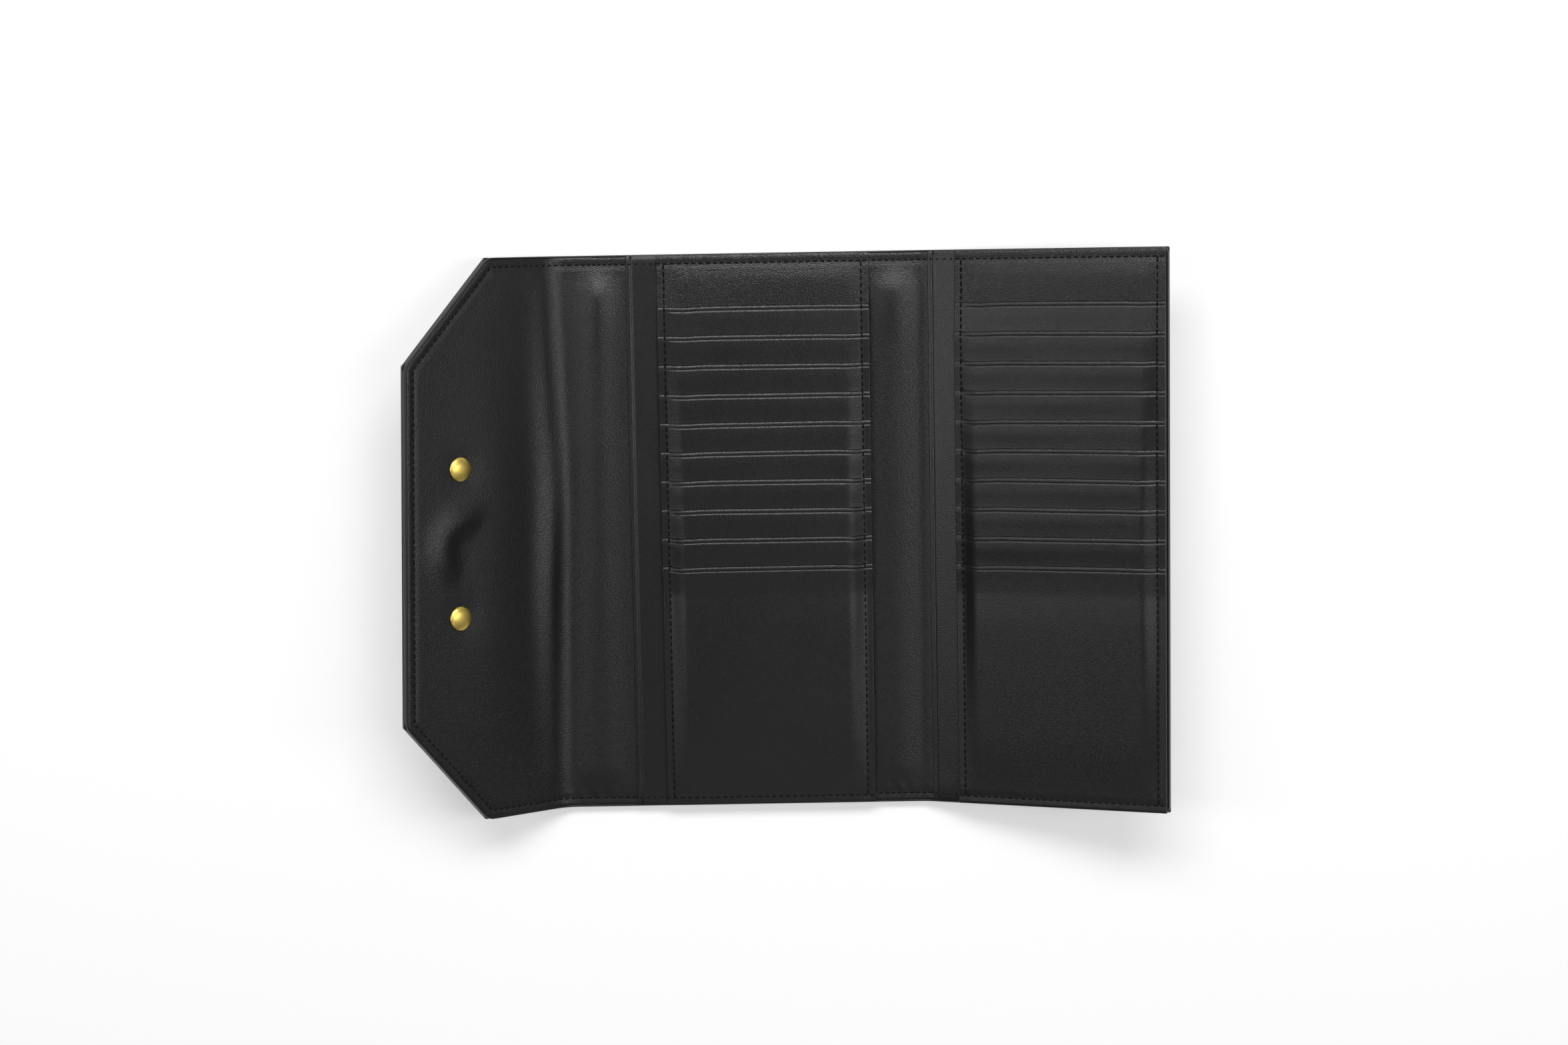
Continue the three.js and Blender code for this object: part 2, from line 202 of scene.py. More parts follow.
def puffs(s, y):
    """The lining stands proud over the spines, most at their top ends, and over the flap."""
    top_end = hump(y, 80, 12)
    flap_spine = hump(s, -HALF_BACK - 9, 6.5) + 0.75 * hump(s, -HALF_BACK - 8, 6.5) * top_end
    front_spine = 0.7 * hump(s, MID_FRONT_SPINE - 0.5, 7.5)
    front_spine = front_spine + 0.8 * hump(s, MID_FRONT_SPINE - 1, 6) * top_end
    flap = 0.9 * hump(s, FLAP_CREASE - 26, 15) * hump(y, 0, 62)
    for side in (1, -1):
        from_rivet = np.hypot(
            FLAP_CREASE - s - RIVET_FROM_CREASE, y - side * RIVET_SPACING / 2
        )
        flap = flap * (1 - hump(from_rivet, 0, DIMPLE_RADIUS))
    return flap_spine + front_spine + flap


def magnet_imprint(s, y):
    """A raised crescent round the hidden magnet, on the side away from the crease."""
    outward, up = FLAP_CREASE - s - MAGNET_FROM_CREASE, y + 2
    radius = np.hypot(outward, up)
    facing = (0.9 * outward + 0.43 * up) / np.maximum(radius, 0.1)
    return 1.2 * hump(radius, 10.5, 4.8) * smoothstep(-0.2, 0.95, facing)


def lining_height(s, y):
    """The lining over its nominal face: waves, puffs, the magnet, gathers and the seam."""
    distance = edge_distance(s, y)
    inside = smoothstep(SEAM_INSET, SEAM_INSET + 11, distance)
    in_spine = hump(s, MID_FLAP_SPINE, 8) + hump(s, MID_FRONT_SPINE, 6)
    gathers = 0.12 * np.sin((s + 0.5 * y) / 0.75) * hump(y, -HALF_LENGTH + 5, 3.2)
    height = inside * (crease_wave(s, y) + puffs(s, y)) + magnet_imprint(s, y)
    return height + gathers * in_spine + seam_dip(distance)


# Modelling helpers
def deselect():
    bpy.ops.object.select_all(action="DESELECT")


def blank(name, s_span, y_span, thickness, step, top=0.0):
    """A flat rectangle of leather of real thickness, drawn at its place and divided for shaping."""
    deselect()
    size = (s_span[1] - s_span[0], y_span[1] - y_span[0])
    columns = max(2, round(size[0] / step[0]))
    rows = max(2, round(size[1] / step[1]))
    middle = ((s_span[0] + s_span[1]) / 2, (y_span[0] + y_span[1]) / 2, top)
    bpy.ops.mesh.primitive_grid_add(
        x_subdivisions=columns, y_subdivisions=rows, size=1, location=middle
    )
    sheet = bpy.context.object
    sheet.name = name
    sheet.data.name = name
    sheet.scale = (size[0], size[1], 1)
    bpy.ops.object.transform_apply(location=True, rotation=False, scale=True)
    sheet["thickness"] = thickness
    return sheet


def slice_sheet(sheet, planes, clear=False, fill=False):
    """Adds an edge loop along each plane, a point and a normal, or cuts away what is past it."""
    bpy.context.view_layer.objects.active = sheet
    bpy.ops.object.mode_set(mode="EDIT")
    for point, normal in planes:
        bpy.ops.mesh.select_all(action="SELECT")
        bpy.ops.mesh.bisect(plane_co=point, plane_no=normal, clear_outer=clear, use_fill=fill)
    bpy.ops.object.mode_set(mode="OBJECT")


def thicken(sheet, rim=0.42, segments=3):
    """Gives a sheet its thickness below its face, with a rounded rim."""
    bpy.context.view_layer.objects.active = sheet
    thickness = sheet["thickness"]
    solid = sheet.modifiers.new("Thickness", "SOLIDIFY")
    solid.thickness = thickness
    solid.offset = -1
    bpy.ops.object.modifier_apply(modifier="Thickness")
    bevel = sheet.modifiers.new("Rim", "BEVEL")
    bevel.width = thickness * rim
    bevel.segments = segments
    bevel.limit_method = "ANGLE"
    bevel.angle_limit = math.radians(60)
    bpy.ops.object.modifier_apply(modifier="Rim")
    del sheet["thickness"]


def points_of(sheet):
    points = np.zeros(len(sheet.data.vertices) * 3)
    sheet.data.vertices.foreach_get("co", points)
    return points.reshape(-1, 3)


def set_points(sheet, points):
    sheet.data.vertices.foreach_set("co", points.astype(np.float32).ravel())
    sheet.data.update()


def finish_piece(sheet, material, smooth_below=50):
    """Turns the faces outwards, smooths the shading and gives the piece its finish."""
    bpy.context.view_layer.objects.active = sheet
    bpy.ops.object.mode_set(mode="EDIT")
    bpy.ops.mesh.select_all(action="SELECT")
    bpy.ops.mesh.normals_make_consistent(inside=False)
    bpy.ops.object.mode_set(mode="OBJECT")
    deselect()
    sheet.select_set(True)
    bpy.ops.object.shade_smooth_by_angle(angle=math.radians(smooth_below))
    sheet.data.materials.clear()
    sheet.data.materials.append(material)


def lay_sheet(sheet, height_at):
    """Lifts a flat sheet by a height over the lining, and lays it in the wallet's open shape."""
    points = points_of(sheet)
    s, y, own = points.T
    set_points(sheet, lay(s, y, own + height_at(s, y)))


# Materials
def leather(name, tone, rough, grain, stretch=(1, 1, 1), relief=0.35):
    """Black pebbled leather: a cellular grain with fine pores, and an uneven finish."""
    material = bpy.data.materials.new(name)
    material.use_nodes = True
    nodes, links = material.node_tree.nodes, material.node_tree.links
    shader = nodes["Principled BSDF"]
    place = nodes.new("ShaderNodeTexCoord")
    mapping = nodes.new("ShaderNodeMapping")
    mapping.inputs["Scale"].default_value = stretch
    links.new(place.outputs["Object"], mapping.inputs["Vector"])

    drift = nodes.new("ShaderNodeTexNoise")
    drift.inputs["Scale"].default_value = grain * 0.35
    drift.inputs["Detail"].default_value = 2
    links.new(mapping.outputs["Vector"], drift.inputs["Vector"])
    warp = nodes.new("ShaderNodeVectorMath")
    warp.operation = "MULTIPLY_ADD"
    links.new(drift.outputs["Color"], warp.inputs[0])
    warp.inputs[1].default_value = (0.9 / grain,) * 3
    links.new(mapping.outputs["Vector"], warp.inputs[2])

    pebbles = nodes.new("ShaderNodeTexVoronoi")
    pebbles.feature = "SMOOTH_F1"
    pebbles.inputs["Scale"].default_value = grain
    pebbles.inputs["Smoothness"].default_value = 0.35
    links.new(warp.outputs["Vector"], pebbles.inputs["Vector"])
    pores = nodes.new("ShaderNodeTexNoise")
    pores.inputs["Scale"].default_value = grain * 2.7
    pores.inputs["Detail"].default_value = 3
    links.new(mapping.outputs["Vector"], pores.inputs["Vector"])

    hills = nodes.new("ShaderNodeMath")
    hills.operation = "MULTIPLY_ADD"
    links.new(pebbles.outputs["Distance"], hills.inputs[0])
    hills.inputs[1].default_value = -1.0
    pits = nodes.new("ShaderNodeMath")
    pits.operation = "MULTIPLY"
    pits.inputs[1].default_value = 0.22
    links.new(pores.outputs["Fac"], pits.inputs[0])
    links.new(pits.outputs["Value"], hills.inputs[2])
    bump = nodes.new("ShaderNodeBump")
    bump.inputs["Strength"].default_value = relief
    bump.inputs["Distance"].default_value = 0.25 / grain
    links.new(hills.outputs["Value"], bump.inputs["Height"])
    links.new(bump.outputs["Normal"], shader.inputs["Normal"])

    patches = nodes.new("ShaderNodeTexNoise")
    patches.inputs["Scale"].default_value = 45
    patches.inputs["Detail"].default_value = 4
    links.new(place.outputs["Object"], patches.inputs["Vector"])
    sheen = nodes.new("ShaderNodeMapRange")
    sheen.inputs["To Min"].default_value = rough - 0.05
    sheen.inputs["To Max"].default_value = rough + 0.06
    links.new(patches.outputs["Fac"], sheen.inputs["Value"])
    links.new(sheen.outputs["Result"], shader.inputs["Roughness"])
    shades = nodes.new("ShaderNodeValToRGB")
    shades.color_ramp.elements[0].color = (*(value * 0.85 for value in tone), 1)
    shades.color_ramp.elements[1].color = (*(value * 1.2 for value in tone), 1)
    links.new(pebbles.outputs["Distance"], shades.inputs["Fac"])
    links.new(shades.outputs["Color"], shader.inputs["Base Color"])
    shader.inputs["Specular IOR Level"].default_value = 0.5
    return material


def plain(name, tone, rough, metallic=0.0, scratch=900, specular=0.5):
    """A smooth finish with a faint unevenness: edge paint, thread, board or metal."""
    material = bpy.data.materials.new(name)
    material.use_nodes = True
    nodes, links = material.node_tree.nodes, material.node_tree.links
    shader = nodes["Principled BSDF"]
    shader.inputs["Metallic"].default_value = metallic
    shader.inputs["Specular IOR Level"].default_value = specular
    place = nodes.new("ShaderNodeTexCoord")
    noise = nodes.new("ShaderNodeTexNoise")
    noise.inputs["Scale"].default_value = scratch
    noise.inputs["Detail"].default_value = 3
    links.new(place.outputs["Object"], noise.inputs["Vector"])
    shades = nodes.new("ShaderNodeValToRGB")
    shades.color_ramp.elements[0].color = (*(value * 0.88 for value in tone), 1)
    shades.color_ramp.elements[1].color = (*(min(1, value * 1.1) for value in tone), 1)
    links.new(noise.outputs["Fac"], shades.inputs["Fac"])
    links.new(shades.outputs["Color"], shader.inputs["Base Color"])
    polish = nodes.new("ShaderNodeMapRange")
    polish.inputs["To Min"].default_value = rough - 0.04
    polish.inputs["To Max"].default_value = rough + 0.05
    links.new(noise.outputs["Fac"], polish.inputs["Value"])
    links.new(polish.outputs["Result"], shader.inputs["Roughness"])
    bump = nodes.new("ShaderNodeBump")
    bump.inputs["Strength"].default_value = 0.08
    bump.inputs["Distance"].default_value = 0.0001
    links.new(noise.outputs["Fac"], bump.inputs["Height"])
    links.new(bump.outputs["Normal"], shader.inputs["Normal"])
    return material


INK = (0.0050, 0.0050, 0.0052)
outer_leather = leather("Outer leather", INK, 0.34, 2900, relief=0.7)
lining_leather = leather("Lining leather", INK, 0.29, 3000, (0.75, 1.0, 1.0), relief=0.85)
sleeve_leather = leather("Sleeve leather", INK, 0.30, 2800, relief=0.5)
header_leather = leather("Header leather", INK, 0.28, 2800, (0.75, 1.0, 1.0), relief=1.0)
pocket_leather = leather("Pocket leather", INK, 0.28, 3400, relief=0.6)
thread = plain("Black thread", (0.003, 0.003, 0.003), 0.75, specular=0.2)
gilt = plain("Satin gilt", (1.0, 0.71, 0.18), 0.38, metallic=1.0, scratch=2500)
board_finish = plain("Bonded board", (0.05, 0.045, 0.04), 0.85, scratch=600)
magnet_finish = plain("Plated steel", (0.55, 0.56, 0.58), 0.3, metallic=1.0)
edge_paint = plain("Edge paint", (0.005, 0.0048, 0.0046), 0.45, scratch=1500)


def straight_cut_planes():
    """The two planes of the flap's cut corners, as points and outward normals."""
    normal_s = -CUT_ACROSS_FLAP / CUT_SLANT
    normal_y = CUT_ALONG_FLAP / CUT_SLANT
    corner = FLAP_TIP + CUT_ALONG_FLAP
    return [
        ((corner, side * HALF_LENGTH, 0), (normal_s, side * normal_y, 0)) for side in (-1, 1)
    ]


# The four stretches of the shell, each from the middle of one part to the middle of the next
STRETCHES = {
    "flap": ((FLAP_TIP, MID_FLAP_SPINE), ("flap_spine", "flap"), "flap_fold"),
    "flap_spine": ((MID_FLAP_SPINE, 0.0), ("back_panel", "flap_spine"), "flap_spine_fold"),
    "front_spine": ((0.0, MID_FRONT_SPINE), ("back_panel", "front_spine"), "front_spine_fold"),
    "front": ((MID_FRONT_SPINE, FRONT_END), ("front_spine", "front_panel"), "front_fold"),
}
REPLACED = {
    "flap": ("flap",),
    "flap_spine": ("flap_spine", "back"),
    "front_spine": ("front_spine", "back"),
    "front": ("front",),
}


def bend_with(piece):
    """Bakes a piece's placement into its mesh, where it stays in the open wallet's shape."""
    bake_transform(piece)


# A stretch is drawn longer where it meets the next, and is cut square there once its rim is rounded
OVERRUN = 4.0


def overrun(stretch):
    (low, high), _, _ = STRETCHES[stretch]
    start = low if stretch == "flap" else low - OVERRUN
    return start, (high if stretch == "front" else high + OVERRUN)


def trim_to_stretch(sheet, stretch):
    (low, high), _, _ = STRETCHES[stretch]
    planes = [] if stretch == "flap" else [((low, 0, 0), (-1, 0, 0))]
    planes += [] if stretch == "front" else [((high, 0, 0), (1, 0, 0))]
    slice_sheet(sheet, planes, clear=True, fill=True)


def make_cover(stretch):
    """The outer leather under the boards."""
    span = overrun(stretch)
    cover = blank(f"outer_leather_{stretch}", span, (-HALF_LENGTH, HALF_LENGTH), COVER, (1.6, 2.4))
    if stretch == "flap":
        slice_sheet(cover, straight_cut_planes(), clear=True)
    thicken(cover)
    trim_to_stretch(cover, stretch)
    points = points_of(cover)
    s, y, own = points.T
    set_points(cover, lay(s, y, own - SHELL + COVER))
    finish_piece(cover, outer_leather)
    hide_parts(*(f"cover_{node}" for node in REPLACED[stretch]))
    bend_with(cover)


def rim_path(stretch):
    """The outline that a stretch's painted edge follows, as flat corner points."""
    (low, high), _, _ = STRETCHES[stretch]
    y = HALF_LENGTH
    if stretch == "flap":
        corner, shoulder = FLAP_TIP + CUT_ALONG_FLAP, y - CUT_ACROSS_FLAP
        upper = [(high, y), (corner, y), (FLAP_TIP, shoulder)]
        return [upper + [(s, -y) for s, y in reversed(upper)]]
    if stretch == "front":
        return [[(low, -y), (high, -y), (high, y), (low, y)]]
    return [[(low, -y), (high, -y)], [(high, y), (low, y)]]


def towards(start, end, distance):
    ahead = np.array(end, float) - start
    return start + distance * ahead / np.linalg.norm(ahead)


def walk(corners, step, rounding=0.0):
    """Points along a line of corners, each corner rounded, with the direction at each point."""
    stops = []
    for i, corner in enumerate(corners):
        here = np.array(corner, float)
        if 0 < i < len(corners) - 1 and rounding > 0:
            before = towards(here, corners[i - 1], rounding)
            after = towards(here, corners[i + 1], rounding)
            for t in np.linspace(0, 1, 5):
                stops.append((1 - t) ** 2 * before + 2 * t * (1 - t) * here + t * t * after)
        else:
            stops.append(here)
    stops = np.array(stops)
    lengths = np.concatenate([[0], np.cumsum(np.linalg.norm(np.diff(stops, axis=0), axis=1))])
    count = max(2, round(lengths[-1] / step) + 1)
    at = np.linspace(0, lengths[-1], count)
    line = np.stack([np.interp(at, lengths, stops[:, k]) for k in (0, 1)], axis=1)
    ahead = np.gradient(line, axis=0)
    ahead /= np.linalg.norm(ahead, axis=1)[:, None]
    return line, ahead


def rim_section():
    """The edge wall's section: how far in from the outline, and how high, going round."""
    near, far = EDGE_ROUNDING, EDGE_WALL - EDGE_ROUNDING
    low, high = -SHELL + 0.15 + EDGE_ROUNDING, -0.05 - EDGE_ROUNDING
    section = []
    corners = ((near, low, 270), (near, high, 180), (far, high, 90), (far, low, 0))
    for inward, height, first in corners:
        for angle in np.radians(np.linspace(first, first - 90, 4)):
            across, up = EDGE_ROUNDING * math.cos(angle), EDGE_ROUNDING * math.sin(angle)
            section.append((inward + across, height + up))
    return np.array(section)


def make_edge(stretch):
    """The painted edge: one band along the outline, closed at both ends."""
    section = rim_section()
    count = len(section)
    vertices, faces = [], []
    for corners in rim_path(stretch):
        line, ahead = walk(corners, EDGE_STEP, rounding=CORNER_ROUNDING)
        inward = np.stack([ahead[:, 1], -ahead[:, 0]], axis=1)
        middle = np.array([np.mean([c[0] for c in corners]), 0])
        if np.sum((middle - line.mean(axis=0)) * inward.mean(axis=0)) < 0:
            inward = -inward
        base = len(vertices)
        for spot, aside in zip(line, inward):
            for into, height in section:
                vertices.append((*(spot + aside * into), height))
        for i in range(len(line) - 1):
            for j in range(count):
                a = base + i * count + j
                b = base + i * count + (j + 1) % count
                faces.append((a, b, b + count, a + count))
        faces.append(tuple(range(base, base + count)))
        faces.append(tuple(range(len(vertices) - count, len(vertices))))
    mesh = bpy.data.meshes.new(f"painted_edge_{stretch}")
    mesh.from_pydata(vertices, [], faces)
    edge = bpy.data.objects.new(mesh.name, mesh)
    bpy.context.collection.objects.link(edge)
    points = points_of(edge)
    s, y, height = points.T
    set_points(edge, lay(s, y, height))
    finish_piece(edge, edge_paint)
    bend_with(edge)


def make_lining(stretch):
    """The lining leather over the boards, just inside the painted edge."""
    low, high = overrun(stretch)
    low_end = low + LINING_INSET if stretch == "flap" else low
    high_end = high - LINING_INSET if stretch == "front" else high
    y = HALF_LENGTH - LINING_INSET
    lining = blank(f"lining_leather_{stretch}", (low_end, high_end), (-y, y), LINING, (0.8, 1.0))
    if stretch == "flap":
        planes = [
            ((s - LINING_INSET * across, y - LINING_INSET * along, 0), (across, along, 0))
            for (s, y, _), (across, along, _) in straight_cut_planes()
        ]
        slice_sheet(lining, planes, clear=True)
    thicken(lining, rim=0.35)
    trim_to_stretch(lining, stretch)
    lay_sheet(lining, lining_height)
    finish_piece(lining, lining_leather)
    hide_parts(*(f"lining_{node}" for node in REPLACED[stretch]))
    bend_with(lining)


for stretch_name in STRETCHES:
    make_cover(stretch_name)
    make_edge(stretch_name)
    make_lining(stretch_name)


# Note sleeves and card banks, one of each on the back panel and on the front panel
PANELS = {
    "back": ("back_panel", -HALF_BACK, HALF_BACK - BANK_MARGIN_BACK),
    "front": ("front_panel", FRONT_CREASE, FRONT_END - BANK_MARGIN_FRONT),
}


def make_sleeve(panel):
    """The note sleeve: one sheet with a folded edge and a creased line beside it."""
    body, crease, high = PANELS[panel]
    low = crease + SLEEVE_FROM_CREASE
    y = HALF_LENGTH - PANEL_END_GAP
    name, thickness = f"{panel}_sleeve_leather", SLEEVE_HIGH - SLEEVE_LOW
    sleeve = blank(name, (low, high), (-y, y), thickness, (1.2, 2.0), top=SLEEVE_HIGH)
    slice_sheet(sleeve, [((low + across, 0, 0), (1, 0, 0)) for across in SLEEVE_LOOPS])
    thicken(sleeve)

    def height_at(s, y):
        from_side = HALF_LENGTH - np.abs(y)
        crease_line = -0.22 * hump(s, low + HEM_LINE, 0.22)
        slack = 0.12 * np.sin(y / 31 + 1.1) * (1 - smoothstep(low, low + 12, s))
        return crease_line + slack * smoothstep(3, 14, from_side) + seam_dip(from_side)

    lay_sheet(sleeve, height_at)
    finish_piece(sleeve, sleeve_leather)
    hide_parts(f"{panel}_note_sleeve")
    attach(sleeve, body)


def make_backing(panel):
    """The sheet that carries the card pockets. Its grain shows above the first pocket."""
    body, _, high = PANELS[panel]
    low = high - BANK_WIDTH
    y = HALF_LENGTH - PANEL_END_GAP
    name, thickness = f"{panel}_backing_leather", BACKING_HIGH - BACKING_LOW
    backing = blank(name, (low, high), (-y, y), thickness, (1.0, 1.0), top=BACKING_HIGH)
    thicken(backing)

    def height_at(s, y):
        from_side = HALF_LENGTH - np.abs(y)
        from_left, from_right = s - low, high - s
        soft = 0.18 * np.sin(s / 17) * np.sin(y / 13 + 0.4) * smoothstep(2, 12, from_side)
        swell = 0.35 * smoothstep(3, 9, from_side) * smoothstep(74, 86, y)
        swell = swell * smoothstep(2, 8, from_left) * smoothstep(2, 8, from_right)
        sides = hump(from_left, SIDE_SEAM_INSET, 0.7) + hump(from_right, SIDE_SEAM_INSET, 0.7)
        lift = np.where(y > 60, soft + swell, 0)
        return lift - 0.12 * sides + seam_dip(from_side)

    lay_sheet(backing, height_at)
    finish_piece(backing, header_leather)
    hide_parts(f"{panel}_bank_backing")
    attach(backing, body)


def card_share(across):
    """1 over the cards, falling to 0 at the side seams. across counts from the bank's middle."""
    half = BANK_WIDTH / 2
    return 1 - smoothstep(CARD_ZONE - 1.7, half - SIDE_SEAM_INSET + 0.6, np.abs(across))


def pocket_lift(n, below, share):
    """The underside of pocket n over the backing, at a distance below its own edge."""
    step = TAIL + PLY_GAP
    tails_below = np.minimum(n - 1, (TAIL_LENGTH - below) / POCKET_PITCH)
    stacked = step * np.clip(tails_below, 0, None)
    fall = np.clip((FALL_END - below) / (FALL_END - HEM_DEPTH), 0, 1)
    hem = POCKET_LEATHER + PLY_GAP - step * share if n > 1 else 0 * below
    return share * stacked + hem * fall


def add_tail(band, middle, edge_y, depth):
    """Pares a band's lower end, and joins the thin narrower tail to it that goes on behind."""
    points = points_of(band)
    pared = np.clip((edge_y - points[:, 1] - PARE_START) / (depth - PARE_START), 0, 1)
    points[:, 2] *= 1 - pared * (1 - TAIL / POCKET_LEATHER)
    set_points(band, points)
    tail_half = CARD_ZONE + 2
    tail_span = (middle - tail_half, middle + tail_half)
    tail_rows = (edge_y - TAIL_LENGTH, edge_y - depth + 0.8)
    tail = blank(band.name + "_tail", tail_span, tail_rows, TAIL, (7, 5), top=TAIL)
    thicken(tail)
    deselect()
    tail.select_set(True)
    band.select_set(True)
    bpy.context.view_layer.objects.active = band
    bpy.ops.object.join()


def make_pocket(panel, n):
    """A card pocket: a leather band with a folded and creased edge, and a thin tail behind."""
    body, _, high = PANELS[panel]
    middle = high - BANK_WIDTH / 2
    half = BANK_WIDTH / 2
    edge_y = HALF_LENGTH - HEADER - (n - 1) * POCKET_PITCH
    is_front = n == POCKETS
    depth = edge_y + HALF_LENGTH - 0.5 if is_front else POCKET_PITCH + BAND_UNDERLAP
    name = f"{panel}_pocket_leather_{n}"
    span = (middle - half, middle + half)
    row = 1.1 if is_front else 0.85
    rows = (edge_y - depth, edge_y)
    band = blank(name, span, rows, POCKET_LEATHER, (0.9, row), top=POCKET_LEATHER)
    slice_sheet(band, [((0, edge_y - below, 0), (0, 1, 0)) for below in HEM_LOOPS])
    sides = [middle + side * (half - inset) for side in (-1, 1) for inset in SIDE_LOOPS]
    slice_sheet(band, [((line, 0, 0), (1, 0, 0)) for line in sides])
    thicken(band, rim=0.46, segments=4)
    if not is_front:
        add_tail(band, middle, edge_y, depth)
    phase = 1.7 * n + (0.9 if panel == "front" else 0.0)

    def height_at(s, y):
        across = s - middle
        below = edge_y - y
        share = card_share(across)
        lift = POCKET_FLOOR + pocket_lift(n, below, share)
        from_left, from_right = across + half, half - across
        sides = hump(from_left, SIDE_SEAM_INSET, 0.6) + hump(from_right, SIDE_SEAM_INSET, 0.6)
        hem_line = -0.16 * hump(below, HEM_LINE, 0.27) * smoothstep(2.4, 6, from_left)
        hem_line = hem_line - 0.3 * np.clip(1 - below / 1.0, 0, 1) ** 2
        if is_front:
            from_end = y + HALF_LENGTH
            swell = 0.35 * smoothstep(3, 22, below) * smoothstep(3, 25, from_end) * share
            return lift + hem_line - 0.12 * sides + swell + seam_dip(from_end)
        swell = 0.10 * hump(below, 4.4, 2.4) * share
        ripple = 0.05 * np.sin(across / 9 + phase) * hump(below, 4, 4)
        return lift + hem_line - 0.12 * sides + swell + ripple * share

    points = points_of(band)
    s, y, own = points.T
    across = s - middle
    near_edge = 1 - smoothstep(0, 9, edge_y - y)
    droop = -0.25 * hump(across + half, 8.5, 4.5) - 0.12 * hump(half - across, 7.5, 4.5)
    bow = 0.10 * np.sin(across / 21 + phase * 0.7)
    height = own + height_at(s, y)
    set_points(band, lay(s, y + near_edge * (droop + bow * card_share(across)), height))
    finish_piece(band, pocket_leather)
    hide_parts(f"{panel}_card_pocket_{n}")
    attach(band, body)


for panel_name in PANELS:
    make_sleeve(panel_name)
    make_backing(panel_name)
    for number in range(1, POCKETS + 1):
        make_pocket(panel_name, number)


# Rivets, board and magnets
def make_rivet(place, side, face):
    """A domed cap with a rolled rim, and its post. face is 1 inside the wallet and -1 outside."""
    which = f"{place}_{'inner' if face > 0 else 'outer'}_cap"
    profile = [(0.0, RIVET_RISE)]
    for share in np.linspace(0.08, 0.97, 14):
        dome = (RIVET_RISE - RIVET_RIM) * (1 - share**2.3) ** 0.75
        profile.append((RIVET_RADIUS * share, RIVET_RIM + dome))
    for share, height in ((0.985, RIVET_RIM), (1.0, 0.17), (0.985, 0.05), (0.93, 0.0)):
        profile.append((RIVET_RADIUS * share, height))
    post, foot = (1.6, -2.4) if face > 0 else (0.8, -3.2)
    profile += [(post, 0.0), (post, foot), (0.0, foot)]
    mesh = bpy.data.meshes.new(f"gilt_{which}")
    outline = [(i, i + 1) for i in range(len(profile) - 1)]
    mesh.from_pydata([(radius, 0, height) for radius, height in profile], outline, [])
    cap = bpy.data.objects.new(mesh.name, mesh)
    bpy.context.collection.objects.link(cap)
    bpy.context.view_layer.objects.active = cap
    spin = cap.modifiers.new("Turned", "SCREW")
    spin.steps = spin.render_steps = 40
    spin.use_merge_vertices = True
    spin.merge_threshold = 0.001
    bpy.ops.object.modifier_apply(modifier="Turned")
    points = points_of(cap)
    points[:, 2] = face * (points[:, 2] + RIVET_SEAT + (0 if face > 0 else SHELL))
    angle = FLAP_RISE
    crease = joints["flap_fold"]["pos_m"][0] / MM
    reach = RIVET_FROM_CREASE - FLAP_SKEW * side * RIVET_SPACING / 2
    x = crease - reach * math.cos(angle) + points[:, 2] * math.sin(angle)
    z = SHELL + reach * math.sin(angle) + points[:, 2] * math.cos(angle)
    x = x + points[:, 0] * math.cos(angle)
    z = z - points[:, 0] * math.sin(angle)
    y = points[:, 1] + side * RIVET_SPACING / 2
    set_points(cap, np.stack([x, y, z], axis=1) * MM)
    finish_piece(cap, gilt, smooth_below=40)
    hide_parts(f"rivet_{which}")
    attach(cap, "flap")


for place_name, place_side in (("upper", 1), ("lower", -1)):
    make_rivet(place_name, place_side, 1)
    make_rivet(place_name, place_side, -1)

for node_name, node in frame["nodes"].items():
    hidden_finish = {"board": board_finish, "magnet": magnet_finish}.get(node_name.split("_")[0])
    if hidden_finish:
        node.data.materials.clear()
        node.data.materials.append(hidden_finish)


# Stitching: one small length of thread, modelled once and copied along each seam
def stitch_shape():
    """A short thread that bows up out of the leather and dives in at both ends."""
    deselect()
    bpy.ops.mesh.primitive_cylinder_add(vertices=6, radius=THREAD_RADIUS, depth=STITCH_LENGTH)
    shape = bpy.context.object
    bpy.ops.object.mode_set(mode="EDIT")
    for cut in (-0.3, 0.0, 0.3):
        bpy.ops.mesh.select_all(action="SELECT")
        bpy.ops.mesh.bisect(plane_co=(0, 0, cut * STITCH_LENGTH), plane_no=(0, 0, 1))
    bpy.ops.object.mode_set(mode="OBJECT")
    points = points_of(shape)
    along = points[:, 2] / (STITCH_LENGTH / 2)
    slim = 1 - 0.35 * along**4
    arch = -0.32 * along**2
    local = np.stack([points[:, 2], points[:, 0] * slim, points[:, 1] * slim + arch], axis=1)
    faces = [tuple(face.vertices) for face in shape.data.polygons]
    bpy.ops.object.delete()
    return local, faces


THREAD_POINTS, THREAD_FACES = stitch_shape()


